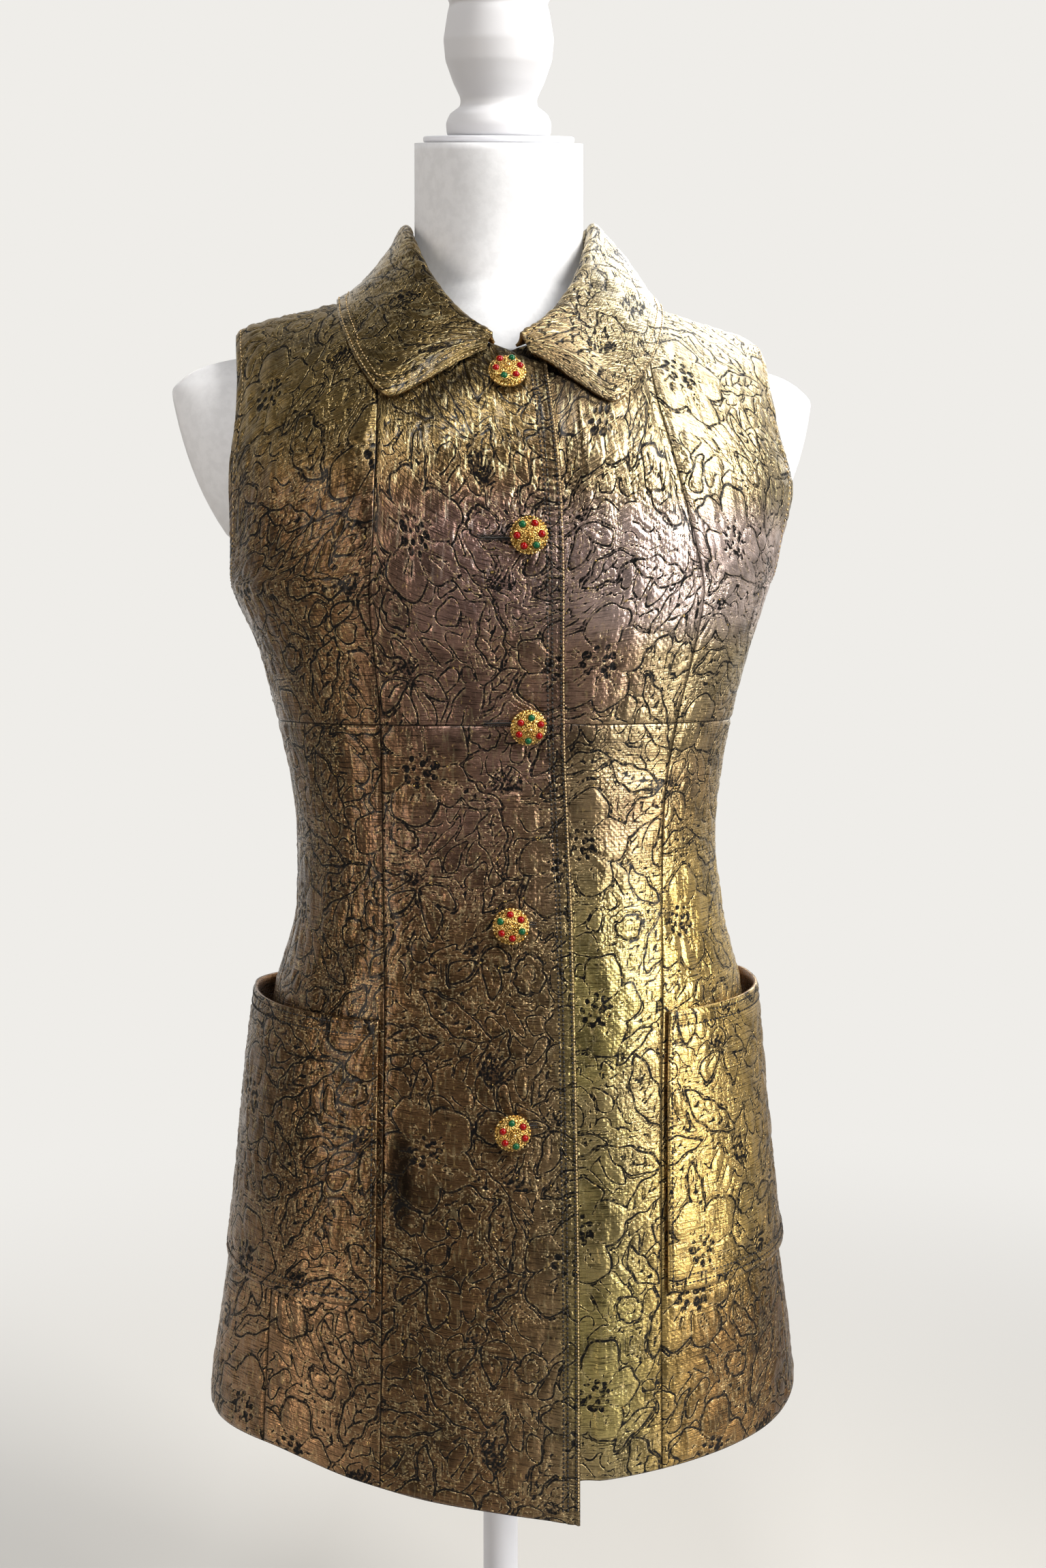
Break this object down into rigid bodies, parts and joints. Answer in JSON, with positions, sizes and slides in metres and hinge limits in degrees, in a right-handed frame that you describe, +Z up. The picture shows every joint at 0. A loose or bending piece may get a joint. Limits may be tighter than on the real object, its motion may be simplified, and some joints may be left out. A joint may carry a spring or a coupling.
{
  "type": "brocade sleeveless top on a limbless dress form with a stand",
  "caption": "Hip-length sleeveless brocade top with pointed collar, overlapping buttoned front and large hip pockets, worn on a smooth white dress form on a pole and round base.",
  "frame": {"origin": "on the floor, at the centre of the base's underside, on the pole's axis", "axes": "+Z up along the pole; the front of the garment faces -Y; the wearer's left is +X"},
  "size_m": [0.3918, 0.32, 1.1586],
  "materials": {
    "brocade": "metallic thread matelasse, semi-gloss",
    "gilt_metal": "antique gilt, satin",
    "white_jersey": "matt knitted cover",
    "white_enamel": "satin enamel",
    "white_painted_wood": "painted, semi-matt"
  },
  "bodies": {
    "root": {"right_centre_front_upper": "brocade", "right_centre_front_lower": "brocade", "left_centre_front_upper": "brocade", "left_centre_front_lower": "brocade", "right_side_front_upper": "brocade", "right_side_front_lower": "brocade", "left_side_front_upper": "brocade", "left_side_front_lower": "brocade", "right_side_back_upper": "brocade", "right_side_back_lower": "brocade", "left_side_back_upper": "brocade", "left_side_back_lower": "brocade", "centre_back_upper": "brocade", "centre_back_lower": "brocade", "right_pocket": "brocade", "left_pocket": "brocade", "collar": "brocade", "button_1": "gilt_metal", "button_2": "gilt_metal", "button_3": "gilt_metal", "button_4": "gilt_metal", "button_5": "gilt_metal", "form_torso": "white_jersey", "neck_plate": "white_enamel", "finial": "white_painted_wood", "pole": "white_enamel", "base": "white_enamel"}
  },
  "joints": []
}
